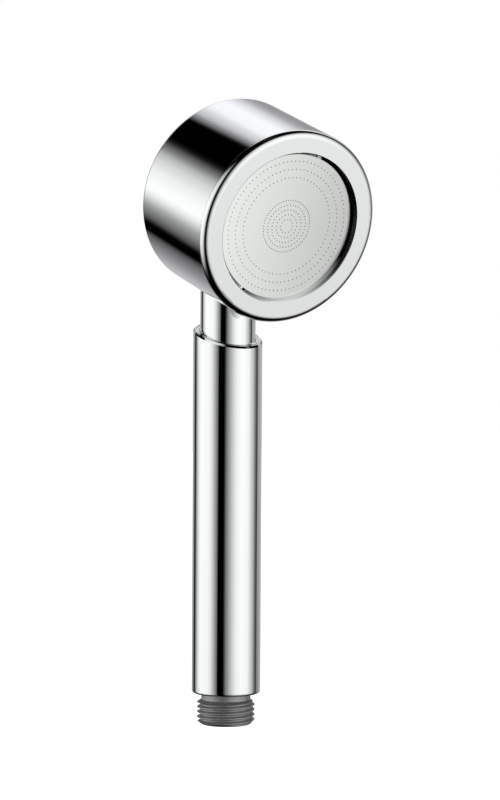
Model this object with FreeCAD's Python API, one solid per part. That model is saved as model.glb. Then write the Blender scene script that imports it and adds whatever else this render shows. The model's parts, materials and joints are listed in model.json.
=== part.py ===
"""Handheld shower head: a short drum on an upright tube grip, with a screw-in face ring.

Units are millimetres.  +Z runs up the grip, the spray face looks towards -Y and down, and the
part is symmetric about X = 0.  The origin is the centre of the inlet's end face, where the hose
washer seats.  Head pieces are drawn on their own axis, with the face rim at zero and depth
counted backwards from it, and are then turned and moved onto the neck.
"""

import FreeCAD
import Part
import math
import os

Vector = FreeCAD.Vector

# ---- Overall sizes -------------------------------------------------------------------------
grip_height = 130.0          # from the grip's lower edge to the oblique cut, on the axis
neck_show = 14.4             # bare neck between the oblique cut and the drum, on the axis
neck_radius = 10.0
grip_step = 2.5              # how far the grip stands out from the neck
cut_angle = 18.0             # slope of the grip's oblique top, falling towards the spray side
head_tilt = 17.0             # how far the spray face looks down
head_radius = 35.0
drum_length = 44.3
neck_set_in = 1.9            # from the neck's rear to the drum's back, along the drum

# ---- Walls, edges and clearances -----------------------------------------------------------
run_gap = 0.05               # radial clearance of turning, sliding and threaded fits
fit_gap = 0.1                # clearance of pieces that are pushed in, and beside an O-ring
loose_gap = 0.3              # radial clearance of pieces that drop in
grip_wall = 1.2
neck_wall = 1.2
drum_wall = 1.2
drum_back_wall = 1.5
drum_back_round = 1.5
seam_chamfer = 0.04
grip_bottom_round = 1.1
grip_top_chamfer = 0.6       # outside edge of the oblique top
grip_mouth_chamfer = 0.35    # its inside edge, round the neck
top_groove_radius = 11.5     # fine groove turned round the grip's oblique top
top_groove_width = 0.3
top_groove_depth = 0.5
cope_margin = 0.3            # extra tube at the neck's top, which the drum's curve trims away

# ---- Face ring and spray plate -------------------------------------------------------------
ring_round = 2.4             # rounded outer edge of the face ring
ring_height = 3.0            # visible height of the ring in front of the drum
collar_wall = 3.15           # drum wall where the face ring screws in
skirt_wall = 3.3
skirt_length = 8.0           # threaded length of the ring behind its shoulder
ring_thread_pitch = 1.5
ring_thread_depth = 0.6
lip_overlap = 2.0            # how far the ring's lip covers the spray plate
cove_steps = [(1.3, 0.0), (1.1, 0.15), (0.85, 1.72), (0.0, 2.5)]   # (outside the lip, depth)
lip_back_depth = 2.7
plate_thickness = 0.5
plate_gap = 0.3
jet_radius = 0.15
inner_jet_counts = [12, 20, 30, 40, 60]
inner_jet_radius = 2.45      # smallest ring of jets
inner_jet_step = 1.75
outer_jet_counts = [70, 80, 90]
outer_jet_margin = 2.55      # from the largest ring of jets to the ring's lip
outer_jet_step = 3.0
gasket_thickness = 1.0
gasket_width = 2.8

# ---- Inside the drum -----------------------------------------------------------------------
support_thickness = 3.2
support_rim = 3.0
support_hub_radius = 1.6
support_ring_share = 0.4     # width of the middle ring, as a share of the space between the jets
spoke_width = 1.6
spoke_pairs = 4              # each pair is one spoke to the hub and one to the middle ring
chamber_wall = 3.0
chamber_back_wall = 2.0
chamber_flange = 1.6
lock_ring_height = 2.4
lock_ring_space = 1.0        # from the end of the face ring's skirt to the lock ring
key_slot_width = 3.0
key_slot_depth = 1.2
shelf_height = 2.0
shelf_width = 1.9
baffle_thickness = 1.2
baffle_seat = 1.4            # width of the step that the baffle rests on
baffle_hole_radius = 1.25
baffle_hole_counts = [8, 14, 20]
baffle_hole_margin = 2.8     # from the outer holes' centres to the baffle's step
seal_section = 0.8           # section radius of the chamber's O-ring
seal_depth = 2.0             # from the chamber's front edge to its O-ring's groove

# ---- Water way from the inlet to the drum ---------------------------------------------------
socket_gap = 0.3
socket_wall = 2.45
socket_depth = 13.5
socket_stop = 1.5            # wall that the pipe's end stops at
pipe_wall = 1.4
pipe_end_gap = 0.5
small_seal_section = 0.64    # section radius of the pipe's O-rings
small_seal_inset = 2.92      # from a socket's mouth to its O-ring
elbow_bend = 9.5
elbow_stub = 0.9
elbow_wall = 1.7
elbow_flange_thickness = 2.4
elbow_port_margin = 3.2      # from the elbow's flange to the chamber's wall
elbow_screw_count = 3
screw_head_radius = 2.0
screw_head_height = 1.4
screw_head_round = 0.55
screw_head_margin = 0.35     # around the screws' heads on the elbow's flange
screw_slot_width = 0.6
screw_slot_length = 2.4
screw_slot_depth = 0.75
screw_shank_radius = 1.1
screw_bite = 2.2             # length of a screw inside the chamber's back
screw_tip_gap = 0.8
boss_wall = 1.4
boss_cap = 0.6
neck_inside = 29.0           # how far the neck reaches down into the grip, from the cut on the axis
thick_top = 20.0             # length of the grip's thick top, from the cut on the axis
nut_height = 5.5
nut_slot_width = 2.0
nut_slot_depth = 1.8
washer_thickness = 0.8
spacer_height = 8.0
spacer_ring = 1.5
spacer_rib = 1.6
spacer_count = 2

# ---- Inlet with its G1/2 thread --------------------------------------------------------------
thread_major_radius = 10.4775
thread_pitch = 1.814
thread_depth = 1.162
thread_crest = 0.3
thread_flank_angle = 27.5
thread_foot = 0.25           # how far a thread's ridge reaches into the piece that it stands on
thread_trim = 0.01           # the trimming outline clears a thread's crests by this much
thread_length = 9.0
lead_drop = 1.6              # the thread's start is turned down this far from its crest
lead_height = 1.1
thread_runout = 1.0
relief_step = 0.37           # the plain relief above the thread lies this far under its root
inlet_height = 11.3          # from the end face to the grip's lower edge
inlet_wall = 2.0
inlet_mouth_chamfer = 0.5
shoulder_recess = 0.7        # the inlet's shoulder sits this far inside the grip
barrel_height = 14.0
barrel_seal_height = 7.0     # from the shoulder to the barrel's O-ring
inlet_socket_height = 11.0
pipe_stop = 3.5              # wall between the valve's bore and the pipe's socket

# ---- Filter, flow regulator and check valve --------------------------------------------------
cartridge_gap = 0.65         # along the bore, between the filter, the regulator and the valve
screen_recess = 0.9
screen_height = 1.6
screen_thickness = 0.3
screen_rim = 1.4
screen_bite = 0.2            # how far the screen's sheet reaches into its rim
screen_hole = 0.32
screen_pitch = 1.05
regulator_height = 3.2
regulator_bore = 1.5
regulator_ring_radius = 3.3
regulator_section = 0.75     # section radius of the regulator's O-ring
regulator_slots = 6
regulator_slot_radius = 0.5
valve_length = 15.5
valve_end_gap = 1.0
valve_seat_height = 5.0
valve_wall = 0.9
valve_flow_gap = 0.9         # around the poppet, inside the cage
valve_seal_section = 0.62
poppet_lip = 1.0             # how far the poppet covers its seat
poppet_thickness = 1.2
poppet_seal_thickness = 0.8
poppet_fin = 1.2
poppet_fin_recess = 1.0      # the fins stop this far inside the cage's lower end
poppet_hub_radius = 2.2
poppet_hub_depth = 1.0
stem_radius = 1.3
stem_entry = 0.5             # how far the stem stands in its guide when the valve is shut
guide_height = 2.0
guide_rim = 1.0
guide_arm = 1.2
guide_arm_count = 3
spring_wire = 0.3            # radius of the spring's wire
spring_wire_sides = 8
spring_radius = 2.5
spring_turns = 4
spring_gap = 0.02

# ---- Grip, neck and inlet: places that follow -------------------------------------------------
grip_radius = neck_radius + grip_step
grip_bore = grip_radius - grip_wall
neck_bore = neck_radius - neck_wall
grip_cut_z = inlet_height + grip_height
join_z = grip_cut_z + neck_show
thick_top_z = grip_cut_z - thick_top
neck_end_z = grip_cut_z - neck_inside
thread_root = thread_major_radius - thread_depth
inlet_bore = thread_root - inlet_wall
shoulder_z = inlet_height + shoulder_recess
barrel_top_z = shoulder_z + barrel_height
barrel_seal_z = shoulder_z + barrel_seal_height

# ---- Cartridges in the inlet: places that follow ----------------------------------------------
cartridge_radius = inlet_bore - fit_gap
regulator_start = screen_recess + screen_height + cartridge_gap
regulator_end = regulator_start + regulator_height
valve_start = regulator_end + cartridge_gap
valve_seat_z = valve_start + valve_seat_height
valve_top_z = valve_start + valve_length
valve_inner = cartridge_radius - valve_wall
poppet_radius = valve_inner - valve_flow_gap
valve_orifice = poppet_radius - poppet_lip
guide_low_z = valve_top_z - guide_height
poppet_base_z = valve_seat_z + run_gap + poppet_seal_thickness
poppet_top_z = poppet_base_z + poppet_thickness

# ---- Water way: places that follow --------------------------------------------------------------
bore_end_z = valve_top_z + valve_end_gap
pipe_seat_z = bore_end_z + pipe_stop
inlet_top_z = pipe_seat_z + inlet_socket_height
inlet_seal_z = inlet_top_z - small_seal_inset
socket_radius = neck_bore - socket_gap
pipe_radius = socket_radius - socket_wall - run_gap
pipe_bore = pipe_radius - pipe_wall
socket_bore = pipe_radius + run_gap
elbow_low_z = grip_cut_z - socket_depth
elbow_seal_z = elbow_low_z + small_seal_inset
elbow_stop_z = elbow_low_z + socket_depth - socket_stop
elbow_radius = pipe_bore + elbow_wall
elbow_seal_radius = pipe_bore + 2 * small_seal_section
elbow_screw_circle = elbow_radius + screw_head_margin + screw_head_radius
elbow_flange_radius = elbow_screw_circle + screw_head_radius + screw_head_margin

# ---- Head: places that follow ---------------------------------------------------------------------
collar_bore = head_radius - collar_wall
skirt_radius = collar_bore - run_gap
skirt_root = skirt_radius - ring_thread_depth
pocket_radius = skirt_radius - skirt_wall
plate_radius = pocket_radius - plate_gap
opening_radius = plate_radius - lip_overlap
plate_back = lip_back_depth + plate_thickness
support_front = plate_back + gasket_thickness
chamber_front = support_front + support_thickness
chamber_seal_z = -chamber_front - seal_depth - seal_section
skirt_end = ring_height + skirt_length
lock_ring_front = skirt_end + lock_ring_space
flange_front = lock_ring_front + lock_ring_height
shelf_front = flange_front + chamber_flange
chamber_radius = plate_radius
chamber_bore = chamber_radius - chamber_wall

tilt = math.radians(head_tilt)
back_overhang = neck_radius + neck_set_in
cope_depth = head_radius - math.sqrt(head_radius ** 2 - neck_radius ** 2)
neck_top_z = join_z + neck_radius * math.tan(tilt) + cope_depth / math.cos(tilt) + cope_margin
outward = Vector(0, -math.cos(tilt), -math.sin(tilt))
head_up = Vector(0, -math.sin(tilt), math.cos(tilt))
face_centre = Vector(0, 0, join_z) + head_up * head_radius + outward * (drum_length - back_overhang)
head_place = FreeCAD.Placement(face_centre, FreeCAD.Rotation(Vector(1, 0, 0), 90 + head_tilt))

port_offset = chamber_radius - elbow_flange_radius - elbow_port_margin
elbow_end_y = -elbow_bend * (1 + math.sin(tilt)) - face_centre.y
elbow_end_rise = (elbow_end_y * math.sin(tilt) - port_offset) / math.cos(tilt)
elbow_end_depth = elbow_end_y * math.cos(tilt) + elbow_end_rise * math.sin(tilt)
elbow_start_z = face_centre.z + elbow_end_rise - elbow_bend * math.cos(tilt)
chamber_back = elbow_end_depth - elbow_stub - elbow_flange_thickness
chamber_floor = chamber_back - chamber_back_wall
baffle_back = (shelf_front + chamber_floor) / 2


# ---- Drawing helpers -------------------------------------------------------------------------
def turned(points):
    """A solid of revolution about Z from a closed outline of (radius, height) points."""
    corners = [Vector(r, 0, z) for r, z in points]
    face = Part.Face(Part.makePolygon(corners + corners[:1]))
    return face.revolve(Vector(0, 0, 0), Vector(0, 0, 1), 360)


def sleeve(outer, inner, low, high):
    """A plain tube between two heights."""
    return turned([(inner, low), (outer, low), (outer, high), (inner, high)])


def rod(radius, low, high, x=0.0, y=0.0):
    """A cylinder between two heights."""
    return Part.makeCylinder(radius, high - low, Vector(x, y, low))


def bar(length, width, low, high, from_centre=False):
    """A straight bar along X: right across the axis, or from the axis outwards."""
    start = 0 if from_centre else -length / 2
    return Part.makeBox(length, width, high - low, Vector(start, -width / 2, low))


def spun(shape, degrees):
    """A copy turned about Z."""
    copy = shape.copy()
    copy.rotate(Vector(0, 0, 0), Vector(0, 0, 1), degrees)
    return copy


def ring_of(count, radius, start=0.0):
    """Evenly spaced (x, y) places on a circle."""
    angles = [start + 2 * math.pi * i / count for i in range(count)]
    return [(radius * math.cos(a), radius * math.sin(a)) for a in angles]


def o_ring(ring_radius, section, height):
    return Part.makeTorus(ring_radius, section, Vector(0, 0, height))


def circle_edges(shape, radius, height):
    """The round edges of a turned solid at one radius and height."""
    found = []
    for edge in shape.Edges:
        curve = edge.Curve
        if isinstance(curve, Part.Circle) and abs(curve.Radius - radius) < 0.001:
            if abs(curve.Center.z - height) < 0.001:
                found.append(edge)
    return found


def perforated(radius, low, high, holes):
    """A flat disc with round holes, given as (x, y, radius)."""
    wires = [Part.Wire(Part.makeCircle(radius, Vector(0, 0, low)))]
    for x, y, hole_radius in holes:
        wires.append(Part.Wire(Part.makeCircle(hole_radius, Vector(x, y, low))))
    face = Part.makeFace(wires, "Part::FaceMakerBullseye")
    return face.extrude(Vector(0, 0, high - low))


def on_head(shape):
    """Moves a piece drawn on the head's own axis to its place on the neck."""
    moved = shape.copy()
    moved.Placement = head_place.multiply(moved.Placement)
    return moved


def threaded(root, depth, pitch, outline):
    """A right-hand thread, trimmed to a turned outline, on a solid core."""
    heights = [height for _, height in outline]
    low, high = min(heights), max(heights)
    tan_flank = math.tan(math.radians(thread_flank_angle))
    half_crest = thread_crest / 2
    half_foot = half_crest + (depth + thread_foot) * tan_flank
    corners = [
        Vector(root - thread_foot, 0, low - pitch - half_foot),
        Vector(root + depth, 0, low - pitch - half_crest),
        Vector(root + depth, 0, low - pitch + half_crest),
        Vector(root - thread_foot, 0, low - pitch + half_foot),
    ]
    path = Part.makeHelix(pitch, high - low + 2 * pitch, root)
    path.translate(Vector(0, 0, low - pitch))
    ridge = Part.Wire(path).makePipeShell([Part.makePolygon(corners + corners[:1])], True, True)
    core = rod(root, low - 2 * pitch, high + 2 * pitch)
    return core.fuse(ridge).common(turned(outline))


# ---- Drum and neck ---------------------------------------------------------------------------
def drum_envelope():
    """The drum's outside as one solid, behind the face ring."""
    body = rod(head_radius, -drum_length, -ring_height)
    body = body.makeFillet(drum_back_round, circle_edges(body, head_radius, -drum_length))
    return body.makeChamfer(seam_chamfer, circle_edges(body, head_radius, -ring_height))


def drum_shell():
    """A one-piece cup: thick threaded collar, inner shelf, thin wall and closed back."""
    shelf_bore = collar_bore - shelf_width
    shelf_back = shelf_front + shelf_height
    cavity_radius = head_radius - drum_wall
    slope = cavity_radius - shelf_bore
    cavity = turned([
        (0, -ring_height),
        (collar_bore, -ring_height),
        (collar_bore, -shelf_front),
        (shelf_bore, -shelf_front),
        (shelf_bore, -shelf_back),
        (cavity_radius, -shelf_back - slope),
        (cavity_radius, drum_back_wall - drum_length),
        (0, drum_back_wall - drum_length),
    ])
    shell = on_head(drum_envelope().cut(cavity))
    return shell.cut(rod(neck_bore, neck_end_z, neck_top_z))


def neck_tube():
    """A tube that is coped to the drum's underside and screws into the grip's thick top."""
    tube = sleeve(neck_radius, neck_bore, neck_end_z, neck_top_z)
    return tube.cut(on_head(drum_envelope()))


def neck_lock_nut():
    """A slotted round nut on the neck's end, up against the grip's inner shoulder."""
    top = thick_top_z - washer_thickness
    low = top - nut_height
    nut = sleeve(grip_bore - loose_gap, neck_radius + run_gap, low, top)
    slot = bar(2 * grip_bore, nut_slot_width, low, low + nut_slot_depth)
    return nut.cut(slot).cut(spun(slot, 90))


def neck_washer():
    return sleeve(grip_bore - loose_gap, neck_radius + fit_gap, thick_top_z - washer_thickness, thick_top_z)


def oblique_edges(body, radius):
    """The edges where an oblique plane cuts a round wall of this radius."""
    return [e for e in body.Edges
            if isinstance(e.Curve, Part.Ellipse) and abs(e.Curve.MinorRadius - radius) < 0.01]


def grip_sleeve():
    """The outer grip: a straight tube with a thick, obliquely cut top."""
    low, high = inlet_height, grip_cut_z + 2 * grip_radius
    body = rod(grip_radius, low, high)
    body = body.makeFillet(grip_bottom_round, circle_edges(body, grip_radius, low))
    body = body.cut(rod(grip_bore, low, thick_top_z))
    body = body.cut(rod(neck_radius + fit_gap, thick_top_z, high))
    waste = bar(4 * grip_radius, 4 * grip_radius, 0, 4 * grip_radius)
    waste.rotate(Vector(0, 0, 0), Vector(1, 0, 0), cut_angle)
    waste.translate(Vector(0, 0, grip_cut_z))
    body = body.cut(waste)
    body = body.makeChamfer(grip_top_chamfer, oblique_edges(body, grip_radius))
    body = body.makeChamfer(grip_mouth_chamfer, oblique_edges(body, neck_radius + fit_gap))
    waste.translate(Vector(0, 0, -top_groove_depth))
    groove = sleeve(top_groove_radius, top_groove_radius - top_groove_width, thick_top_z, high)
    return body.cut(groove.common(waste))


# ---- Face ring, spray plate and what backs it -------------------------------------------------
def face_ring():
    """The screw-in ring: rounded rim, stepped cove down to a lip, and a threaded skirt."""
    cove = [(opening_radius + out, -depth) for out, depth in cove_steps]
    ring = turned(cove + [
        (opening_radius, -lip_back_depth),
        (pocket_radius, -lip_back_depth),
        (pocket_radius, -skirt_end),
        (skirt_root, -skirt_end),
        (skirt_root, -ring_height),
        (head_radius - seam_chamfer, -ring_height),
        (head_radius, seam_chamfer - ring_height),
        (head_radius, 0),
    ])
    ring = ring.makeFillet(ring_round, circle_edges(ring, head_radius, 0))
    thread = threaded(skirt_root, ring_thread_depth, ring_thread_pitch, [
        (skirt_root - thread_foot, -skirt_end),
        (skirt_root, -skirt_end),
        (skirt_radius + thread_trim, ring_thread_depth - skirt_end),
        (skirt_radius + thread_trim, -ring_height - ring_thread_pitch),
        (skirt_root, ring_thread_depth - ring_height - ring_thread_pitch),
        (skirt_root - thread_foot, ring_thread_depth - ring_height - ring_thread_pitch),
    ])
    return on_head(ring.fuse(thread).removeSplitter())


def jet_rings():
    """Every ring of jets as (jets, radius): close ones in the middle, wide ones outside."""
    rings = [(n, inner_jet_radius + i * inner_jet_step) for i, n in enumerate(inner_jet_counts)]
    largest = opening_radius - outer_jet_margin
    last = len(outer_jet_counts) - 1
    return rings + [(n, largest - (last - i) * outer_jet_step) for i, n in enumerate(outer_jet_counts)]


def spray_plate():
    """The thin disc of jets that lies behind the ring's lip."""
    holes = [(x, y, jet_radius) for count, radius in jet_rings() for x, y in ring_of(count, radius)]
    return on_head(perforated(plate_radius, -plate_back, -lip_back_depth, holes))


def plate_gasket():
    return on_head(sleeve(plate_radius, plate_radius - gasket_width, -support_front, -plate_back))


def plate_support():
    """A spoked disc behind the plate: it keeps the thin plate flat and leaves the jets open."""
    low, high = -chamber_front, -support_front
    raised = high + gasket_thickness - fit_gap
    radii = [radius for _, radius in jet_rings()]
    space_low, space_high = radii[len(inner_jet_counts) - 1:len(inner_jet_counts) + 1]
    middle = (space_low + space_high) / 2
    half_ring = support_ring_share * (space_high - space_low) / 2
    reach = plate_radius - support_rim / 2
    body = sleeve(plate_radius, plate_radius - support_rim, low, high)
    body = body.fuse(sleeve(middle + half_ring, middle - half_ring, low, raised))
    body = body.fuse(rod(support_hub_radius, low, high))
    long_spoke = bar(reach, spoke_width, low, high, from_centre=True)
    short_spoke = long_spoke.cut(rod(middle, low, high))
    pair_turn = 360 / spoke_pairs
    for i in range(spoke_pairs):
        body = body.fuse(spun(short_spoke, i * pair_turn))
        body = body.fuse(spun(long_spoke, (i + 0.5) * pair_turn))
    return on_head(body.removeSplitter())


def water_chamber():
    """The inner cup: O-ring groove, clamping flange, baffle step and inlet port."""
    groove_radius = pocket_radius - run_gap - 2 * seal_section
    groove_half = seal_section + fit_gap
    flange_radius = collar_bore - loose_gap
    cup = turned([
        (0, -chamber_back),
        (chamber_radius, -chamber_back),
        (chamber_radius, -shelf_front),
        (flange_radius, -shelf_front),
        (flange_radius, -flange_front),
        (chamber_radius, -flange_front),
        (chamber_radius, chamber_seal_z - groove_half),
        (groove_radius, chamber_seal_z - groove_half),
        (groove_radius, chamber_seal_z + groove_half),
        (chamber_radius, chamber_seal_z + groove_half),
        (chamber_radius, -chamber_front),
        (chamber_bore, -chamber_front),
        (chamber_bore, -baffle_back),
        (chamber_bore - baffle_seat, -baffle_back),
        (chamber_bore - baffle_seat, -chamber_floor),
        (0, -chamber_floor),
    ])
    pilot_radius = screw_shank_radius + fit_gap
    pilot_end = screw_bite + screw_tip_gap - chamber_back
    for x, y in elbow_screw_places():
        cup = cup.fuse(rod(pilot_radius + boss_wall, -chamber_floor, pilot_end + boss_cap, x, y))
        cup = cup.cut(rod(pilot_radius, -chamber_back, pilot_end, x, y))
    cup = cup.cut(rod(pipe_bore, -chamber_back, -chamber_floor, 0, -port_offset))
    return on_head(cup.removeSplitter())


def chamber_seal():
    return on_head(o_ring(pocket_radius - run_gap - seal_section, seal_section, chamber_seal_z))


def chamber_lock_ring():
    """A threaded ring with four key slots that clamps the chamber to the drum's shelf."""
    front = -lock_ring_front
    ring = sleeve(collar_bore - run_gap, chamber_radius + loose_gap, -flange_front, front)
    slot = bar(2 * collar_bore, key_slot_width, front - key_slot_depth, front)
    return on_head(ring.cut(slot).cut(spun(slot, 90)))


def flow_baffle():
    """A perforated disc across the chamber that spreads the water before the plate."""
    step = (chamber_bore - baffle_seat - baffle_hole_margin) / len(baffle_hole_counts)
    holes = []
    for i, count in enumerate(baffle_hole_counts):
        holes += [(x, y, baffle_hole_radius) for x, y in ring_of(count, (i + 1) * step)]
    return on_head(perforated(chamber_bore - fit_gap, -baffle_back, baffle_thickness - baffle_back, holes))


# ---- Elbow and water pipe ----------------------------------------------------------------------
def elbow_screw_places():
    """The screws around the chamber's port, drawn on the head's axis."""
    return [(x, y - port_offset) for x, y in ring_of(elbow_screw_count, elbow_screw_circle, math.pi / 2)]


def elbow_way(radius, low):
    """A bent rod: up the neck, round the bend and out to the chamber's back."""
    up = rod(radius, low, elbow_start_z)
    section = Part.Face(Part.Wire(Part.makeCircle(radius, Vector(0, 0, elbow_start_z))))
    bend = section.revolve(Vector(0, -elbow_bend, elbow_start_z), Vector(1, 0, 0), 90 + head_tilt)
    out = rod(radius, -elbow_end_depth, -chamber_back, 0, -port_offset)
    return up.fuse(bend).fuse(on_head(out))


def inlet_elbow():
    """Carries water from the pipe in the grip to the chamber's back."""
    flange_back = -chamber_back - elbow_flange_thickness
    body = elbow_way(elbow_radius, elbow_stop_z)
    body = body.fuse(rod(socket_radius, elbow_low_z, elbow_stop_z + socket_stop))
    body = body.fuse(on_head(rod(elbow_flange_radius, flange_back, -chamber_back, 0, -port_offset)))
    body = body.cut(elbow_way(pipe_bore, elbow_low_z))
    body = body.cut(rod(socket_bore, elbow_low_z, elbow_stop_z))
    body = body.cut(socket_groove(elbow_seal_z))
    groove_depth = 2 * small_seal_section
    groove = sleeve(
        elbow_seal_radius + small_seal_section, elbow_seal_radius - small_seal_section, 0, groove_depth)
    groove.translate(Vector(0, -port_offset, -chamber_back - groove_depth))
    body = body.cut(on_head(groove))
    for x, y in elbow_screw_places():
        body = body.cut(on_head(rod(screw_shank_radius + loose_gap, flange_back, -chamber_back, x, y)))
    return body.removeSplitter()


def elbow_seal():
    """A face seal in the elbow's flange, against the chamber's back."""
    ring = o_ring(elbow_seal_radius, small_seal_section, 0)
    ring.translate(Vector(0, -port_offset, -chamber_back - small_seal_section))
    return on_head(ring)


def elbow_screw():
    """A pan-head screw with a cross recess: its head sits above height zero."""
    head = rod(screw_head_radius, 0, screw_head_height)
    head = head.makeFillet(screw_head_round, circle_edges(head, screw_head_radius, screw_head_height))
    slot = bar(screw_slot_length, screw_slot_width, screw_head_height - screw_slot_depth, screw_head_height)
    head = head.cut(slot).cut(spun(slot, 90))
    return head.fuse(rod(screw_shank_radius, -elbow_flange_thickness - screw_bite, 0)).removeSplitter()


def elbow_screws():
    """The screws through the elbow's flange into the chamber."""
    screws = []
    for x, y in elbow_screw_places():
        screw = elbow_screw()
        screw.rotate(Vector(0, 0, 0), Vector(1, 0, 0), 180)
        screw.translate(Vector(x, y, -chamber_back - elbow_flange_thickness))
        screws.append(on_head(screw))
    return Part.makeCompound(screws)


def socket_groove(height):
    """The O-ring groove inside a pipe socket."""
    half = small_seal_section + fit_gap
    return rod(pipe_radius + 2 * small_seal_section, height - half, height + half)


def water_pipe():
    return sleeve(pipe_radius, pipe_bore, pipe_seat_z + pipe_end_gap, elbow_stop_z - pipe_end_gap)


def pipe_seals():
    """The O-rings on the pipe's two ends."""
    rings = [o_ring(pipe_radius + small_seal_section, small_seal_section, z)
             for z in (inlet_seal_z, elbow_seal_z)]
    return Part.makeCompound(rings)


def pipe_spacer(height):
    """A ribbed ring that keeps the pipe in the middle of the grip."""
    low, high = height - spacer_height / 2, height + spacer_height / 2
    reach = grip_bore - fit_gap
    rib = bar(2 * reach, spacer_rib, low, high)
    body = rod(socket_bore + spacer_ring, low, high).fuse(rib).fuse(spun(rib, 90))
    body = body.common(rod(reach, low, high))
    return body.cut(rod(socket_bore, low, high)).removeSplitter()


def pipe_spacer_places():
    """The spacers' heights by name, evenly spaced between the inlet and the neck's end."""
    step = (neck_end_z - inlet_top_z) / (spacer_count + 1)
    names = ["pipe_spacer_lower", "pipe_spacer_upper"]
    return [(name, inlet_top_z + (i + 1) * step) for i, name in enumerate(names)]


# ---- Inlet -------------------------------------------------------------------------------------
def inlet_thread():
    """The hose thread with a turned-down start, and its run-out into the relief."""
    relief_radius = thread_root - relief_step
    runout_z = thread_length - thread_runout
    thread = threaded(thread_root, thread_depth, thread_pitch, [
        (0, 0),
        (thread_major_radius - lead_drop, 0),
        (thread_major_radius + thread_trim, lead_height),
        (thread_major_radius + thread_trim, runout_z),
        (relief_radius, thread_length),
        (0, thread_length),
    ])
    return thread.fuse(rod(relief_radius, runout_z, shoulder_z))


def inlet_connector():
    """The threaded inlet: hose thread, sealed barrel inside the grip and the pipe's socket."""
    barrel_radius = grip_bore - run_gap
    groove_radius = grip_bore - 2 * valve_seal_section
    groove_half = valve_seal_section + fit_gap
    socket_outer = socket_bore + socket_wall
    barrel = turned([
        (0, shoulder_z),
        (barrel_radius, shoulder_z),
        (barrel_radius, barrel_seal_z - groove_half),
        (groove_radius, barrel_seal_z - groove_half),
        (groove_radius, barrel_seal_z + groove_half),
        (barrel_radius, barrel_seal_z + groove_half),
        (barrel_radius, barrel_top_z),
        (socket_outer, barrel_top_z),
        (socket_outer, inlet_top_z),
        (0, inlet_top_z),
    ])
    water_way = turned([
        (0, 0),
        (inlet_bore + inlet_mouth_chamfer, 0),
        (inlet_bore, inlet_mouth_chamfer),
        (inlet_bore, bore_end_z),
        (pipe_bore, bore_end_z),
        (pipe_bore, pipe_seat_z),
        (socket_bore, pipe_seat_z),
        (socket_bore, inlet_top_z),
        (0, inlet_top_z),
    ])
    body = inlet_thread().fuse(barrel).cut(water_way)
    return body.cut(socket_groove(inlet_seal_z)).removeSplitter()


def connector_seal():
    """The O-ring between the inlet's barrel and the grip."""
    return o_ring(grip_bore - valve_seal_section, valve_seal_section, barrel_seal_z)


# ---- Filter, regulator and check valve -----------------------------------------------------------
def filter_screen():
    """A fine screen in a rim, just inside the inlet's mouth."""
    window = cartridge_radius - screen_rim
    rim = sleeve(cartridge_radius, window, screen_recess, screen_recess + screen_height)
    steps = range(-int(window / screen_pitch), int(window / screen_pitch) + 1)
    grid = [(i * screen_pitch, j * screen_pitch) for i in steps for j in steps]
    holes = [(x, y, screen_hole) for x, y in grid if math.hypot(x, y) + screen_hole < window - screen_bite]
    sheet_low = screen_recess + screen_bite
    sheet = perforated(window + screen_bite, sheet_low, sheet_low + screen_thickness, holes)
    return rim.fuse(sheet).removeSplitter()


def flow_regulator():
    """A disc with a ring of scalloped slots that its O-ring closes as the pressure rises."""
    body = sleeve(cartridge_radius, regulator_bore, regulator_start, regulator_end)
    pit_outer = regulator_ring_radius + regulator_section
    pit_inner = regulator_ring_radius - regulator_section
    body = body.cut(sleeve(pit_outer, pit_inner, regulator_end - 2 * regulator_section, regulator_end))
    for x, y in ring_of(regulator_slots, regulator_ring_radius):
        body = body.cut(rod(regulator_slot_radius, regulator_start, regulator_end, x, y))
    return body


def regulator_seal():
    section = regulator_section - run_gap / 2
    return o_ring(regulator_ring_radius, section, regulator_end - regulator_section)


def valve_seal_groove_z():
    return valve_start + valve_seat_height / 2


def valve_body():
    """The check valve's cage: a seat at the bottom and an open barrel above it."""
    groove_z = valve_seal_groove_z()
    groove_half = valve_seal_section + fit_gap
    groove_radius = inlet_bore - 2 * valve_seal_section
    return turned([
        (valve_orifice, valve_start),
        (cartridge_radius, valve_start),
        (cartridge_radius, groove_z - groove_half),
        (groove_radius, groove_z - groove_half),
        (groove_radius, groove_z + groove_half),
        (cartridge_radius, groove_z + groove_half),
        (cartridge_radius, valve_top_z),
        (valve_inner, valve_top_z),
        (valve_inner, valve_seat_z),
        (valve_orifice, valve_seat_z),
    ])


def valve_body_seal():
    return o_ring(inlet_bore - valve_seal_section, valve_seal_section, valve_seal_groove_z())


def valve_guide():
    """The cage's cap: three arms and a hub that guide the poppet's stem."""
    hub_radius = spring_radius + 2 * spring_wire
    body = sleeve(valve_inner - run_gap, valve_inner - guide_rim, guide_low_z, valve_top_z)
    body = body.fuse(rod(hub_radius, guide_low_z, valve_top_z))
    arm = bar(valve_inner - guide_rim / 2, guide_arm, guide_low_z, valve_top_z, from_centre=True)
    for i in range(guide_arm_count):
        body = body.fuse(spun(arm, 360 * i / guide_arm_count))
    return body.cut(rod(stem_radius + fit_gap, guide_low_z, valve_top_z)).removeSplitter()


def valve_poppet():
    """The moving disc, with guide fins below it and a stem above it."""
    fin_radius = valve_orifice - fit_gap
    fin_low = valve_start + poppet_fin_recess
    fin = bar(2 * fin_radius, poppet_fin, fin_low, valve_seat_z)
    fins = fin.fuse(spun(fin, 90)).common(rod(fin_radius, fin_low, valve_seat_z))
    body = rod(poppet_radius, poppet_base_z, poppet_top_z)
    body = body.fuse(rod(poppet_hub_radius, valve_seat_z - poppet_hub_depth, poppet_base_z))
    body = body.fuse(rod(stem_radius, poppet_top_z, guide_low_z + stem_entry))
    return body.fuse(fins).removeSplitter()


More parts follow.
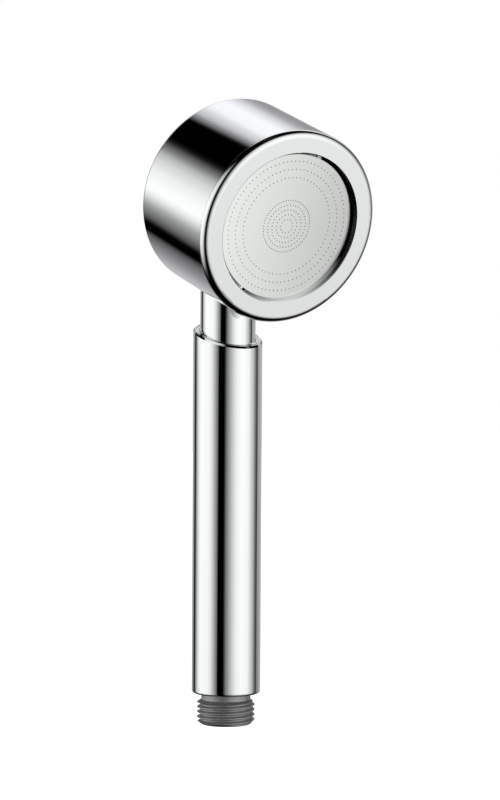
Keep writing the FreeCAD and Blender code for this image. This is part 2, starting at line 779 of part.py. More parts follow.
def valve_seal():
    """The rubber ring under the poppet's disc."""
    return sleeve(poppet_radius, poppet_hub_radius, valve_seat_z + run_gap, poppet_base_z)


def valve_spring():
    """The light coil spring that keeps the valve shut; its wire is drawn with flat sides."""
    low = poppet_top_z + spring_wire + spring_gap
    high = guide_low_z - spring_wire - spring_gap
    pitch = (high - low) / spring_turns
    path = Part.makeHelix(pitch, high - low, spring_radius)
    path.translate(Vector(0, 0, low))
    across = Vector(0, -pitch, 2 * math.pi * spring_radius).normalize()
    centre = Vector(spring_radius, 0, low)
    section = ring_of(spring_wire_sides, spring_wire, math.pi / spring_wire_sides)
    corners = [centre + Vector(1, 0, 0) * x + across * y for x, y in section]
    outline = Part.makePolygon(corners + corners[:1])
    return Part.Wire(path).makePipeShell([outline], True, True)


# ---- Writing the sub-parts -----------------------------------------------------------------------
def write(name, shape):
    if not shape.isValid():
        print("not valid:", name)
    shape.exportStep(f"parts/{name}.step")


os.makedirs("parts", exist_ok=True)

for make in (
    drum_shell, neck_tube, neck_lock_nut, neck_washer, grip_sleeve,
    face_ring, spray_plate, plate_gasket, plate_support,
    water_chamber, chamber_seal, chamber_lock_ring, flow_baffle,
    inlet_elbow, elbow_seal, elbow_screws, water_pipe, pipe_seals,
    inlet_connector, connector_seal, filter_screen, flow_regulator, regulator_seal,
    valve_body, valve_body_seal, valve_guide, valve_poppet, valve_seal, valve_spring,
):
    write(make.__name__, make())

for spacer_name, spacer_z in pipe_spacer_places():
    write(spacer_name, pipe_spacer(spacer_z))
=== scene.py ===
"""Looks for a handheld shower head: chrome drum, ring, neck and grip, satin spray plate, dark inlet.

Lengths are metres, and a value whose name ends in _mm is millimetres.  The CAD pieces keep their
shapes and get finishes by slot.  The spray plate and the inlet's filter are made again here, with
countersunk jets and a woven gauze.
"""

import json
import math

import bpy
from mathutils import Matrix, Vector


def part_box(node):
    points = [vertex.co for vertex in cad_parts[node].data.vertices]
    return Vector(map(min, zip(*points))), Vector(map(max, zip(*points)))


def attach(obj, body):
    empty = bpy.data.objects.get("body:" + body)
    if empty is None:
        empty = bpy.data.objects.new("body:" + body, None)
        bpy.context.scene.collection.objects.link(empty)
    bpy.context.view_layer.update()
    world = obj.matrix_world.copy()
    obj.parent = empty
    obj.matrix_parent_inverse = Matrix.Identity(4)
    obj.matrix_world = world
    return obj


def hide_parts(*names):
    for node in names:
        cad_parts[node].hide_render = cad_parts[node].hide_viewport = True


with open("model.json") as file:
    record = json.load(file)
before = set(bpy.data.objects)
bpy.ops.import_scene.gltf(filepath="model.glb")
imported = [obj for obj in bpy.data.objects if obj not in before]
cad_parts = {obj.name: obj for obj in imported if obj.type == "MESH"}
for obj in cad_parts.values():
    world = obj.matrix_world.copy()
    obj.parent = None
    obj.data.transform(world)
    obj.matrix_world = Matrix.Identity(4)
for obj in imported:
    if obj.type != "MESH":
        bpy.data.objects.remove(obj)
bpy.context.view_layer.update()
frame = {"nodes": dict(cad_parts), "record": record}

MM = 0.001
record = frame["record"]
joints = {joint["name"]: joint for joint in record["behaviour"]["joints"]}

# The head's own axis: it points out of the spray face, through the centre of the ring's rim.
face_axis = Vector(joints["face_turn"]["axis"]).normalized()
face_centre = Vector(joints["face_turn"]["pos_m"])
head_turn = math.atan2(-face_axis.y, face_axis.z)


# ---- Small tools ---------------------------------------------------------------------------------
def linear(hex_colour):
    """An sRGB hex colour as linear RGBA."""
    parts = [int(hex_colour[i:i + 2], 16) / 255 for i in (1, 3, 5)]
    return [c / 12.92 if c <= 0.04045 else ((c + 0.055) / 1.055) ** 2.4 for c in parts] + [1.0]


def put(tree, kind, inputs=None, **settings):
    """Adds a node with its settings; an input is a value or another node's output."""
    node = tree.nodes.new(kind)
    for name, value in settings.items():
        setattr(node, name, value)
    for name, value in (inputs or {}).items():
        if isinstance(value, bpy.types.NodeSocket):
            tree.links.new(value, node.inputs[name])
        else:
            node.inputs[name].default_value = value
    return node


def per_metre(size_mm):
    """The texture scale whose features are this many millimetres across."""
    return 1.0 / (size_mm * MM)


# ---- Finishes ------------------------------------------------------------------------------------
def finish(name, colour, metallic, roughness, **sockets):
    """A new material with its constant values on the shader's own sockets."""
    material = bpy.data.materials.new(name)
    material.use_nodes = True
    tree = material.node_tree
    tree.nodes.clear()
    values = {"Base Color": linear(colour), "Metallic": metallic, "Roughness": roughness}
    values.update({key.replace("_", " "): value for key, value in sockets.items()})
    shader = put(tree, "ShaderNodeBsdfPrincipled", values)
    put(tree, "ShaderNodeOutputMaterial", {"Surface": shader.outputs["BSDF"]})
    return material, tree, shader


def grain(tree, size_mm, detail=2.0, stretch=(1, 1, 1)):
    """Soft noise on the piece, size_mm across and longer where stretch is under one."""
    place = put(tree, "ShaderNodeTexCoord").outputs["Object"]
    scaled = put(tree, "ShaderNodeMapping", {"Vector": place, "Scale": stretch}).outputs["Vector"]
    return put(tree, "ShaderNodeTexNoise", {
        "Vector": scaled, "Scale": per_metre(size_mm), "Detail": detail}).outputs["Fac"]


def work_surface(tree, shader, pattern, colours=None, roughness=None, depth_mm=None):
    """Lets one pattern vary a finish's colour, its roughness and its relief."""
    low, high = 0.3, 0.7     # noise keeps near its middle, so this is its whole swing
    if colours:
        swing = put(tree, "ShaderNodeMapRange", {"Value": pattern, "From Min": low, "From Max": high})
        mixed = put(tree, "ShaderNodeMix", {
            "Factor": swing.outputs["Result"], "A": linear(colours[0]), "B": linear(colours[1])},
            data_type="RGBA")
        tree.links.new(mixed.outputs["Result"], shader.inputs["Base Color"])
    if roughness:
        swing = put(tree, "ShaderNodeMapRange", {
            "Value": pattern, "From Min": low, "From Max": high,
            "To Min": roughness[0], "To Max": roughness[1]})
        tree.links.new(swing.outputs["Result"], shader.inputs["Roughness"])
    if depth_mm:
        raised = put(tree, "ShaderNodeBump", {
            "Height": pattern, "Strength": 1.0, "Distance": depth_mm * MM})
        tree.links.new(raised.outputs["Normal"], shader.inputs["Normal"])


def polished_chrome():
    # Chrome plate over polished brass: a neutral mirror.  Buffing leaves a faint haze that comes
    # and goes over a centimetre, and waves far too shallow to bend an edge.
    material, tree, shader = finish("polished_chrome_plate", "#EEEFEE", 1.0, 0.03)
    work_surface(tree, shader, grain(tree, 9.0), roughness=(0.012, 0.035))
    work_surface(tree, shader, grain(tree, 3.0, detail=1.0), depth_mm=0.0002)
    return material


plate_reach_mm = 24.0     # from the middle of the spray plate to where the ring starts


def satin_stainless():
    # Stainless sheet with a fine satin turned on it: rings of scratches round the middle, which
    # draw the light out a little.  Real grit lines are 0.05 mm apart; they are drawn at 0.3 mm,
    # the finest that shows.  The base colour is painted lighter on one side and darker on the
    # other: painted light and shade falling across the plate.
    material, tree, shader = finish("ring_satin_stainless", "#ECECEA", 1.0, 0.2, Anisotropic=0.3)
    place = put(tree, "ShaderNodeTexCoord").outputs["Object"]
    head = put(tree, "ShaderNodeMapping", {
        "Vector": place, "Location": face_centre, "Rotation": (head_turn, 0, 0)},
        vector_type="TEXTURE").outputs["Vector"]
    flat = put(tree, "ShaderNodeVectorMath", {
        0: head, 1: (1, 1, 0)}, operation="MULTIPLY").outputs["Vector"]
    radius = put(tree, "ShaderNodeVectorMath", {0: flat}, operation="LENGTH").outputs["Value"]
    way_out = put(tree, "ShaderNodeVectorMath", {0: flat}, operation="NORMALIZE").outputs["Vector"]
    scratches_per_radian = 5.0
    round_place = put(tree, "ShaderNodeVectorMath", {
        0: way_out, 1: (scratches_per_radian,) * 3}, operation="MULTIPLY").outputs["Vector"]
    rings = put(tree, "ShaderNodeMath", {0: radius, 1: per_metre(0.3)}, operation="MULTIPLY").outputs[0]
    lifted = put(tree, "ShaderNodeCombineXYZ", {"Z": rings}).outputs["Vector"]
    scratch_place = put(tree, "ShaderNodeVectorMath", {
        0: round_place, 1: lifted}, operation="ADD").outputs["Vector"]
    scratches = put(tree, "ShaderNodeTexNoise", {
        "Vector": scratch_place, "Scale": 1.0, "Detail": 2.0}).outputs["Fac"]
    work_surface(tree, shader, scratches, roughness=(0.16, 0.2), depth_mm=0.0001)
    # Painted light: the plate's base colour runs from light on one side to dark on the other, standing in
    # for light falling across it.
    across = put(tree, "ShaderNodeSeparateXYZ", {"Vector": head}).outputs["X"]
    painted_light_across = put(tree, "ShaderNodeMapRange", {
        "Value": across, "From Min": -plate_reach_mm * MM, "From Max": plate_reach_mm * MM})
    painted_light_gradient = put(tree, "ShaderNodeMix", {
        "Factor": painted_light_across.outputs["Result"], "A": linear("#FAFAF8"), "B": linear("#D3D3D2")},
        data_type="RGBA")
    tree.links.new(painted_light_gradient.outputs["Result"], shader.inputs["Base Color"])
    outward = put(tree, "ShaderNodeVectorMath", {0: place, 1: face_centre}, operation="SUBTRACT")
    tree.links.new(outward.outputs["Vector"], shader.inputs["Tangent"])
    return material


def satin_nickel():
    # Turned brass under dark satin nickel: smoky grey, a little blotchy from the bath, with the
    # lathe's fine rings, 0.15 mm apart, drawn at 0.35 mm so that they show.
    material, tree, shader = finish("dark_satin_nickel", "#B7B7B7", 1.0, 0.58)
    work_surface(tree, shader, grain(tree, 1.6, detail=4.0), ("#B2B2B2", "#BEBEBD"), (0.54, 0.64))
    work_surface(tree, shader, grain(tree, 0.35, stretch=(0.02, 0.02, 1)), depth_mm=0.001)
    return material


def turned_brass():
    # Free-cutting brass straight off the lathe: warm yellow, with feed marks 0.2 mm apart.
    material, tree, shader = finish("turned_brass", "#C9A45C", 1.0, 0.26)
    work_surface(tree, shader, grain(tree, 3.0), ("#BE9850", "#D4B16B"), (0.22, 0.3))
    work_surface(tree, shader, grain(tree, 0.2, stretch=(0.02, 0.02, 1)), depth_mm=0.003)
    return material


def bright_steel():
    # Drawn stainless wire and pressed screws: cool mid grey, bright, with dull patches.
    material, tree, shader = finish("bright_stainless", "#C4C5C6", 1.0, 0.2)
    work_surface(tree, shader, grain(tree, 0.8, detail=3.0), ("#BEBFC0", "#CACBCC"), (0.14, 0.3), 0.002)
    return material


def moulded(name, dark, light, roughness, texture_mm, depth_mm, **sockets):
    """Moulded plastic or rubber: a near-even colour over the mould's own fine texture."""
    material, tree, shader = finish(name, light, 0.0, roughness, **sockets)
    cloud_mm = 4.0
    work_surface(tree, shader, grain(tree, cloud_mm), (dark, light))
    swing = 0.06
    work_surface(tree, shader, grain(tree, texture_mm, detail=3.0), None,
                 (roughness - swing, roughness + swing), depth_mm)
    return material


finishes = {
    "chrome": polished_chrome(),
    "stainless_plate": satin_stainless(),
    "satin_nickel": satin_nickel(),
    "brass": turned_brass(),
    "steel": bright_steel(),
    # EPDM seals, moulded and greased: near black, with a soft sheen.
    "seal_rubber": moulded("greased_epdm", "#141415", "#1E1E20", 0.5, 0.3, 0.002, Coat_Weight=0.3),
    # Silicone gasket, moulded: pale, cloudy grey, waxy to the eye.
    "silicone": moulded("cloudy_silicone", "#B9BBBD", "#CDCFD0", 0.45, 0.5, 0.002, IOR=1.41),
    # ABS inner parts, moulded in a spark-eroded tool: off-white, with a matt grain.
    "inner_plastic": moulded("off_white_abs", "#DADBD6", "#E6E6E1", 0.48, 0.4, 0.006, IOR=1.54),
    # Polyethylene pipe, extruded: milky and smooth, slightly greasy in its shine.
    "pipe_plastic": moulded("natural_polyethylene", "#E2E4E0", "#EEEFEA", 0.36, 1.2, 0.004, IOR=1.51),
    # Acetal valve parts, moulded: hard, fine and semi-gloss, in blue and in white.
    "valve_plastic": moulded("blue_acetal", "#234C8C", "#2E5FA6", 0.34, 0.3, 0.002, IOR=1.48),
    "white_acetal": moulded("white_acetal", "#E4E4DF", "#F0F0EB", 0.34, 0.3, 0.002, IOR=1.48),
}

slot_of = {part["node"]: part["material_slot"] for part in record["subparts"]}
for node_name, piece in frame["nodes"].items():
    for material_slot in piece.material_slots:
        material_slot.material = finishes[slot_of[node_name]]


# ---- Pieces made by geometry nodes ---------------------------------------------------------------
def new_tree(name, sizes):
    """A geometry tree with one named input for each size, and the group input's outputs to start it from.
    """
    tree = bpy.data.node_groups.new(name, "GeometryNodeTree")
    tree.interface.new_socket("Geometry", in_out="OUTPUT", socket_type="NodeSocketGeometry")
    for size, value in sizes.items():
        kind = "NodeSocketInt" if isinstance(value, int) else "NodeSocketFloat"
        tree.interface.new_socket(size, in_out="INPUT", socket_type=kind)
    return tree, put(tree, "NodeGroupInput").outputs


def close_tree(tree, geometry, material, smooth):
    """Ends a tree with real faces in one finish."""
    real = put(tree, "GeometryNodeRealizeInstances", {"Geometry": geometry}).outputs["Geometry"]
    shaded = put(tree, "GeometryNodeSetShadeSmooth", {"Geometry": real, "Shade Smooth": smooth})
    dressed = put(tree, "GeometryNodeSetMaterial", {
        "Geometry": shaded.outputs["Geometry"], "Material": material})
    put(tree, "NodeGroupOutput", {"Geometry": dressed.outputs["Geometry"]})


def grown(name, tree, sizes):
    """Runs a tree on an empty mesh and keeps the result as a plain piece at the origin."""
    seed = bpy.data.objects.new(name + "_seed", bpy.data.meshes.new(name + "_seed"))
    bpy.context.scene.collection.objects.link(seed)
    modifier = seed.modifiers.new(name, "NODES")
    modifier.node_group = tree
    identifiers = {item.name: item.identifier
                   for item in tree.interface.items_tree if item.in_out == "INPUT"}
    for size, value in sizes.items():
        modifier[identifiers[size]] = value
    evaluated = seed.evaluated_get(bpy.context.evaluated_depsgraph_get())
    mesh = bpy.data.meshes.new_from_object(evaluated)
    mesh.name = name
    seed.modifiers.remove(modifier)
    bpy.data.objects.remove(seed)
    piece = bpy.data.objects.new(name, mesh)
    bpy.context.scene.collection.objects.link(piece)
    return piece


def turned_rod(tree, bottom, height, sides, bottom_radius, top_radius):
    """A closed rod or cone that stands on a level."""
    body = put(tree, "GeometryNodeMeshCone", {
        "Vertices": sides, "Radius Bottom": bottom_radius, "Radius Top": top_radius, "Depth": height})
    lift = put(tree, "ShaderNodeCombineXYZ", {"Z": bottom}).outputs["Vector"]
    return put(tree, "GeometryNodeTransform", {
        "Geometry": body.outputs["Mesh"], "Translation": lift}).outputs["Geometry"]


def spray_plate_with_jets():
    """The thin plate: rings of jets, each a drilled hole with a small countersink in front."""
    low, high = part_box("spray_plate")
    plate_radius = (high.x - low.x) / 2
    thickness = 0.5 * MM
    mouth_depth = 0.12 * MM
    spare = 0.05 * MM        # every drill runs this far past the faces
    front = -2.7 * MM        # below the ring's rim, along the head's axis
    mouth_bottom = front - mouth_depth
    drill_bottom = front - thickness - spare
    sizes = {
        "Plate radius": plate_radius,
        "Plate bottom": front - thickness,
        "Plate thickness": thickness,
        "Plate sides": 192,
        "Jet radius": 0.13 * MM,
        "Jet sides": 10,
        "Drill bottom": drill_bottom,
        "Drill length": mouth_bottom - drill_bottom,
        "Mouth radius": 0.25 * MM,
        "Mouth bottom": mouth_bottom,
        "Mouth length": mouth_depth + spare,
    }
    # The close rings are counted out from the middle, and the wide ones in from the plate's edge.
    close_start, close_step = 2.45 * MM, 1.75 * MM
    jets_to_rim, wide_step = 4.55 * MM, 3.0 * MM
    ring_radii = {count: close_start + i * close_step for i, count in enumerate((12, 20, 30, 40, 60))}
    ring_radii.update({count: plate_radius - jets_to_rim - i * wide_step
                       for i, count in enumerate((90, 80, 70))})
    sizes.update({f"Radius of the ring of {count}": radius for count, radius in ring_radii.items()})

    tree, size = new_tree("spray_plate_tree", sizes)
    plate = turned_rod(tree, size["Plate bottom"], size["Plate thickness"], size["Plate sides"],
                       size["Plate radius"], size["Plate radius"])
    rings = put(tree, "GeometryNodeJoinGeometry")
    for count in ring_radii:
        circle = put(tree, "GeometryNodeMeshCircle", {
            "Vertices": count, "Radius": size[f"Radius of the ring of {count}"]})
        tree.links.new(circle.outputs["Mesh"], rings.inputs["Geometry"])
    drill = turned_rod(tree, size["Drill bottom"], size["Drill length"], size["Jet sides"],
                       size["Jet radius"], size["Jet radius"])
    sink = turned_rod(tree, size["Mouth bottom"], size["Mouth length"], size["Jet sides"],
                      size["Jet radius"], size["Mouth radius"])
    pierced = plate
    for cutter in (sink, drill):
        placed = put(tree, "GeometryNodeInstanceOnPoints", {
            "Points": rings.outputs["Geometry"], "Instance": cutter}).outputs["Instances"]
        cutters = put(tree, "GeometryNodeRealizeInstances", {"Geometry": placed}).outputs["Geometry"]
        pierced = put(tree, "GeometryNodeMeshBoolean", {"Mesh 1": pierced, "Mesh 2": cutters},
                      operation="DIFFERENCE", solver="MANIFOLD").outputs["Mesh"]
    on_head = put(tree, "GeometryNodeTransform", {
        "Geometry": pierced, "Translation": face_centre, "Rotation": (head_turn, 0, 0)})
    close_tree(tree, on_head.outputs["Geometry"], finishes["stainless_plate"], smooth=False)
    piece = grown("spray_plate_with_jets", tree, sizes)
    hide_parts("spray_plate")
    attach(piece, "face_insert")


def woven_filter():
    """The inlet's filter: a plain-woven wire gauze, crimped over and under, in a flat rim."""
    low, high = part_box("filter_screen")
    height = high.z - low.z
    window_radius = 5.8 * MM
    pitch = 0.75 * MM
    wire_radius = 0.14 * MM
    wires = 17
    wire_points = 103
    wire_length = 2.1 * window_radius
    sizes = {
        "Rim radius": (high.x - low.x) / 2,
        "Rim bottom": low.z,
        "Rim height": height,
        "Rim sides": 96,
        "Window radius": window_radius,
        "Window bottom": low.z - height / 2,
        "Window height": 2 * height,
        "Gauze level": (low.z + high.z) / 2,
        "Gauze radius": window_radius + wire_radius,
        "Pitch": pitch,
        "Wires": wires,
        "First wire": -pitch * (wires - 1) / 2,
        "Wire radius": wire_radius,
        "Wire sides": 6,
        "Wire points": wire_points,
        "Wire start": -wire_length / 2,
        "Wire step": wire_length / (wire_points - 1),
    }
    tree, size = new_tree("woven_filter_tree", sizes)
    wave = put(tree, "ShaderNodeMath", {0: math.pi, 1: size["Pitch"]}, operation="DIVIDE").outputs[0]
    gauze_wires = put(tree, "GeometryNodeJoinGeometry")
    for along, sideways, crimp in (("X", "Y", 1.0), ("Y", "X", -1.0)):
        start = put(tree, "ShaderNodeCombineXYZ", {along: size["Wire start"]}).outputs["Vector"]
        step = put(tree, "ShaderNodeCombineXYZ", {along: size["Wire step"]}).outputs["Vector"]
        wire = put(tree, "GeometryNodeMeshLine", {
            "Count": size["Wire points"], "Start Location": start, "Offset": step}).outputs["Mesh"]
        row_start = put(tree, "ShaderNodeCombineXYZ", {sideways: size["First wire"]}).outputs["Vector"]
        row_step = put(tree, "ShaderNodeCombineXYZ", {sideways: size["Pitch"]}).outputs["Vector"]
        row = put(tree, "GeometryNodeMeshLine", {
            "Count": size["Wires"], "Start Location": row_start, "Offset": row_step}).outputs["Mesh"]
        placed = put(tree, "GeometryNodeInstanceOnPoints", {
            "Points": row, "Instance": wire}).outputs["Instances"]
        straight = put(tree, "GeometryNodeRealizeInstances", {"Geometry": placed}).outputs["Geometry"]
        # Each wire rises over one crossing wire and dips under the next.
        here = put(tree, "ShaderNodeSeparateXYZ", {
            "Vector": put(tree, "GeometryNodeInputPosition").outputs["Position"]}).outputs
        waves = []
        for axis in ("X", "Y"):
            angle = put(tree, "ShaderNodeMath", {
                0: here[axis], 1: wave}, operation="MULTIPLY").outputs[0]
            waves.append(put(tree, "ShaderNodeMath", {0: angle}, operation="COSINE").outputs[0])
        both = put(tree, "ShaderNodeMath", {0: waves[0], 1: waves[1]}, operation="MULTIPLY").outputs[0]
        rise = put(tree, "ShaderNodeMath", {
            0: size["Wire radius"], 1: crimp}, operation="MULTIPLY").outputs[0]
        swell = put(tree, "ShaderNodeMath", {0: both, 1: rise}, operation="MULTIPLY").outputs[0]
        lift = put(tree, "ShaderNodeCombineXYZ", {"Z": swell}).outputs["Vector"]
        crimped = put(tree, "GeometryNodeSetPosition", {"Geometry": straight, "Offset": lift})
        tree.links.new(crimped.outputs["Geometry"], gauze_wires.inputs["Geometry"])
    # What lies under the rim is trimmed away, and the rest becomes round wire.
    level = put(tree, "ShaderNodeVectorMath", {
        0: put(tree, "GeometryNodeInputPosition").outputs["Position"], 1: (1, 1, 0)},
        operation="MULTIPLY").outputs["Vector"]
    away = put(tree, "ShaderNodeVectorMath", {0: level}, operation="LENGTH").outputs["Value"]
    outside = put(tree, "FunctionNodeCompare", {
        0: away, 1: size["Gauze radius"]}, operation="GREATER_THAN").outputs["Result"]
    trimmed = put(tree, "GeometryNodeDeleteGeometry", {
        "Geometry": gauze_wires.outputs["Geometry"], "Selection": outside}).outputs["Geometry"]
    paths = put(tree, "GeometryNodeMeshToCurve", {"Mesh": trimmed}).outputs["Curve"]
    section = put(tree, "GeometryNodeCurvePrimitiveCircle", {
        "Resolution": size["Wire sides"], "Radius": size["Wire radius"]}).outputs["Curve"]
    gauze = put(tree, "GeometryNodeCurveToMesh", {
        "Curve": paths, "Profile Curve": section, "Fill Caps": True}).outputs["Mesh"]
    middle = put(tree, "ShaderNodeCombineXYZ", {"Z": size["Gauze level"]}).outputs["Vector"]
    level_gauze = put(tree, "GeometryNodeTransform", {"Geometry": gauze, "Translation": middle})
    disc = turned_rod(tree, size["Rim bottom"], size["Rim height"], size["Rim sides"],
                      size["Rim radius"], size["Rim radius"])
    window = turned_rod(tree, size["Window bottom"], size["Window height"], size["Rim sides"],
                        size["Window radius"], size["Window radius"])
    rim = put(tree, "GeometryNodeMeshBoolean", {"Mesh 1": disc, "Mesh 2": window},
              operation="DIFFERENCE", solver="MANIFOLD").outputs["Mesh"]
    whole = put(tree, "GeometryNodeJoinGeometry")
    tree.links.new(level_gauze.outputs["Geometry"], whole.inputs["Geometry"])
    tree.links.new(rim, whole.inputs["Geometry"])
    close_tree(tree, whole.outputs["Geometry"], finishes["steel"], smooth=False)
    piece = grown("woven_filter", tree, sizes)
    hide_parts("filter_screen")
    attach(piece, "handset")


spray_plate_with_jets()
woven_filter()

# ---- Studio --------------------------------------------------------------------------------------
view_turn = 32.14        # degrees that the camera stands to the left of the spray face
view_drop = 3.32         # degrees that the camera looks down
view_roll = 0.34
view_distance = 1.116
view_aim = Vector((0.0069, -0.0043, 0.1177))
view_lens_mm = 139.03    # on a 36 mm sensor
floor_height = -0.25     # the head is held in the air, well above the floor
floor_reach = 4.0
card_light = 1.18        # how bright the brightest card is, against the white paper's 1
eye_gamma = 2.2          # turns brightness as the eye reads it to light


def studio_camera():
    camera = bpy.data.objects.new("camera", bpy.data.cameras.new("camera"))
    camera.data.sensor_width = 36
    camera.data.lens = view_lens_mm
    turn = (Matrix.Rotation(-math.radians(view_turn), 3, "Z")
            @ Matrix.Rotation(math.radians(90 - view_drop), 3, "X")
            @ Matrix.Rotation(math.radians(view_roll), 3, "Z"))
    place = view_aim + turn @ Vector((0, 0, view_distance))
    camera.matrix_world = Matrix.Translation(place) @ turn.to_4x4()
    bpy.context.scene.collection.objects.link(camera)
    bpy.context.scene.camera = camera


def studio_world():
    """Soft white cards at the left, the right and behind, with black between and above them."""
    world = bpy.data.worlds.new("studio")
    world.use_nodes = True
    bpy.context.scene.world = world
    tree = world.node_tree
    tree.nodes.clear()
    # The camera stands at minus Y of this turned direction, and a turn is counted to its right.
    way = put(tree, "ShaderNodeMapping", {
        "Vector": put(tree, "ShaderNodeTexCoord").outputs["Generated"],
        "Rotation": (0, 0, math.radians(view_turn))}).outputs["Vector"]
    parts = put(tree, "ShaderNodeSeparateXYZ", {"Vector": way}).outputs
    towards = put(tree, "ShaderNodeMath", {0: parts["Y"], 1: -1.0}, operation="MULTIPLY").outputs[0]
    turn = put(tree, "ShaderNodeMath", {0: parts["X"], 1: towards}, operation="ARCTAN2").outputs[0]
    rise = put(tree, "ShaderNodeMath", {0: parts["Z"]}, operation="ARCSINE").outputs[0]

    # A flat card looks lower towards its ends, so its height is taken square to its own middle.
    # The right card reaches a little higher than the others.
    facing = {}
    for card, (middle, reach) in {"left": (-60, 1.0), "right": (50, 1.15), "back": (180, 1.0)}.items():
        square = (reach * math.sin(math.radians(middle)), -reach * math.cos(math.radians(middle)), 0)
        facing[card] = put(tree, "ShaderNodeVectorMath", {
            0: way, 1: square}, operation="DOT_PRODUCT").outputs["Value"]
    front = put(tree, "ShaderNodeMath", {
        0: facing["left"], 1: facing["right"]}, operation="MAXIMUM").outputs[0]

    # The left card's far edge leans out above the camera's level.
    above = put(tree, "ShaderNodeMapRange", {
        "Value": rise, "From Min": math.radians(-7), "From Max": math.radians(12),
        "To Max": math.radians(26)}, interpolation_type="SMOOTHSTEP").outputs["Result"]
    far_left = put(tree, "ShaderNodeMapRange", {
        "Value": turn, "From Min": math.radians(-110), "From Max": math.radians(-95),
        "To Min": 1.0, "To Max": 0.0}, interpolation_type="SMOOTHSTEP").outputs["Result"]
    not_behind = put(tree, "ShaderNodeMapRange", {
        "Value": turn, "From Min": math.radians(-136), "From Max": math.radians(-122)}).outputs["Result"]
    lean = put(tree, "ShaderNodeMath", {0: above, 1: far_left}, operation="MULTIPLY").outputs[0]
    leant = put(tree, "ShaderNodeMath", {
        0: lean, 1: not_behind, 2: turn}, operation="MULTIPLY_ADD").outputs[0]

    # Brightness as the eye reads it, against degrees.
    around = [
        (-180, 1.0), (-166, 0.97), (-156, 0.86), (-149, 0.78), (-143, 0.64), (-139.5, 0.46), (-136.5, 0.02),
        (-132, 0.03), (-128, 0.36), (-122, 0.59), (-115, 0.78), (-108, 0.90), (-98, 1.0),
        (-64, 0.97), (-53, 0.88), (-44, 0.71), (-35, 0.50), (-31, 0.37), (-28, 0.0), (-12, 0.0),
        (-6, 0.29), (-2, 0.45), (10, 0.67), (22, 0.84), (34, 0.95), (52, 1.0), (76, 0.96), (98, 0.71),
        (118, 0.22), (125, 0.58), (138, 0.86), (180, 1.0)]
    front_height = [
        (-66, 0.0), (-56, 0.22), (-46, 0.60), (-35, 0.82), (-22, 0.95), (0, 1.0), (15, 0.99), (26, 0.94),
        (36, 0.83), (42, 0.71), (47, 0.50), (51, 0.34), (55, 0.12), (60, 0.0), (80, 0.0), (90, 0.4)]
    back_height = [
        (-70, 0.0), (-55, 0.15), (-45, 0.33), (-35, 0.42), (-25, 0.56), (-18, 0.70), (-3, 0.76), (3, 0.68),
        (8, 0.62), (17, 0.57), (26, 0.66), (33, 0.84), (42, 0.99), (50, 1.0), (55, 0.93), (57.5, 0.64),
        (58.6, 0.14), (59.6, 0.0), (80, 0.0), (90, 0.4)]
    front_rise = put(tree, "ShaderNodeMath", {0: parts["Z"], 1: front}, operation="ARCTAN2").outputs[0]
    back_rise = put(tree, "ShaderNodeMath", {
        0: parts["Z"], 1: facing["back"]}, operation="ARCTAN2").outputs[0]
    levels = []
    for angle, span, stops in (
            (leant, 180, around), (front_rise, 90, front_height), (back_rise, 90, back_height)):
        place = put(tree, "ShaderNodeMapRange", {
            "Value": angle, "From Min": -math.radians(span), "From Max": math.radians(span)})
        ramp = put(tree, "ShaderNodeValToRGB", {"Fac": place.outputs["Result"]})
        elements = ramp.color_ramp.elements
        elements.remove(elements[1])
        elements[0].position = 0.0
        elements[0].color = (stops[0][1],) * 3 + (1,)
        for degrees, brightness in stops[1:]:
            elements.new((degrees + span) / (2 * span)).color = (brightness,) * 3 + (1,)
        elements[0].position = (stops[0][0] + span) / (2 * span)
        levels.append(ramp.outputs["Color"])
    sideways = put(tree, "ShaderNodeMath", {0: turn}, operation="ABSOLUTE").outputs[0]
    behind = put(tree, "ShaderNodeMapRange", {
        "Value": sideways, "From Min": math.radians(128), "From Max": math.radians(136)})
    # The front cards are a very slightly green white, and the back one a cool white.
    tinted = [put(tree, "ShaderNodeMix", {"Factor": 1.0, "A": level, "B": white},
                  data_type="RGBA", blend_type="MULTIPLY").outputs["Result"]
              for level, white in zip(levels[1:], ((0.991, 1.0, 0.996, 1.0), (0.982, 0.982, 1.0, 1.0)))]
    height = put(tree, "ShaderNodeMix", {
        "Factor": behind.outputs["Result"], "A": tinted[0], "B": tinted[1]}, data_type="RGBA")
    seen = put(tree, "ShaderNodeMix", {
        "Factor": 1.0, "A": levels[0], "B": height.outputs["Result"]},
        data_type="RGBA", blend_type="MULTIPLY")
    light = put(tree, "ShaderNodeGamma", {"Color": seen.outputs["Result"], "Gamma": eye_gamma})
    cards = put(tree, "ShaderNodeBackground", {"Color": light.outputs["Color"], "Strength": card_light})
    paper = put(tree, "ShaderNodeBackground", {"Color": linear("#FFFFFF"), "Strength": 1.0})
    sees_paper = put(tree, "ShaderNodeLightPath").outputs["Is Camera Ray"]
    both = put(tree, "ShaderNodeMixShader", {
        "Fac": sees_paper, 1: cards.outputs["Background"], 2: paper.outputs["Background"]})
    put(tree, "ShaderNodeOutputWorld", {"Surface": both.outputs["Shader"]})


def studio_floor():
    """A wide sheet of lit white paper, clear from below."""
    mesh = bpy.data.meshes.new("floor")
    corners = [(x * floor_reach, y * floor_reach, floor_height)
               for x, y in ((-1, -1), (1, -1), (1, 1), (-1, 1))]
    mesh.from_pydata(corners, [], [(0, 1, 2, 3)])
    material, tree, shader = finish(
        "white_paper", "#F4F4F4", 0.0, 0.9, Emission_Color=linear("#FFFFFF"), Emission_Strength=1.0)
    clear = put(tree, "ShaderNodeBsdfTransparent")
    from_below = put(tree, "ShaderNodeNewGeometry").outputs["Backfacing"]
    sheet = put(tree, "ShaderNodeMixShader", {
        "Fac": from_below, 1: shader.outputs["BSDF"], 2: clear.outputs["BSDF"]})
    put(tree, "ShaderNodeOutputMaterial", {"Surface": sheet.outputs["Shader"]}, is_active_output=True)
    mesh.materials.append(material)
    floor = bpy.data.objects.new("floor", mesh)
    floor.visible_glossy = False
    bpy.context.scene.collection.objects.link(floor)


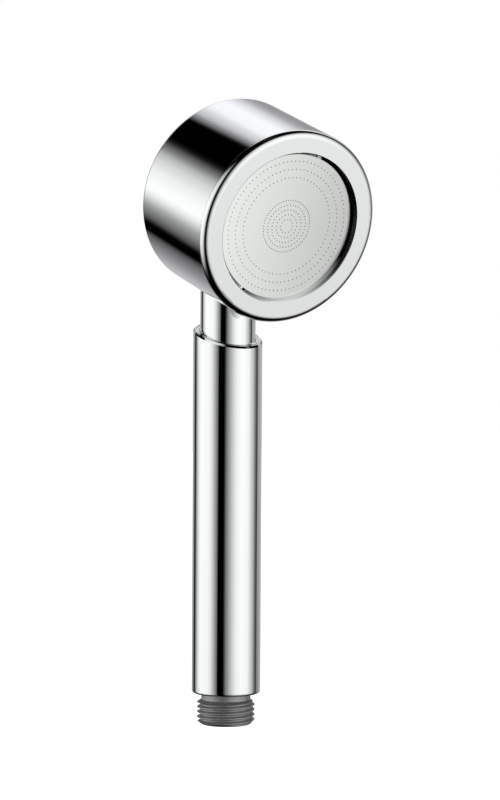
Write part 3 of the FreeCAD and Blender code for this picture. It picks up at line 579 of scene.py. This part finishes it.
studio_camera()
studio_world()
studio_floor()
bpy.context.scene.view_settings.view_transform = "Standard"
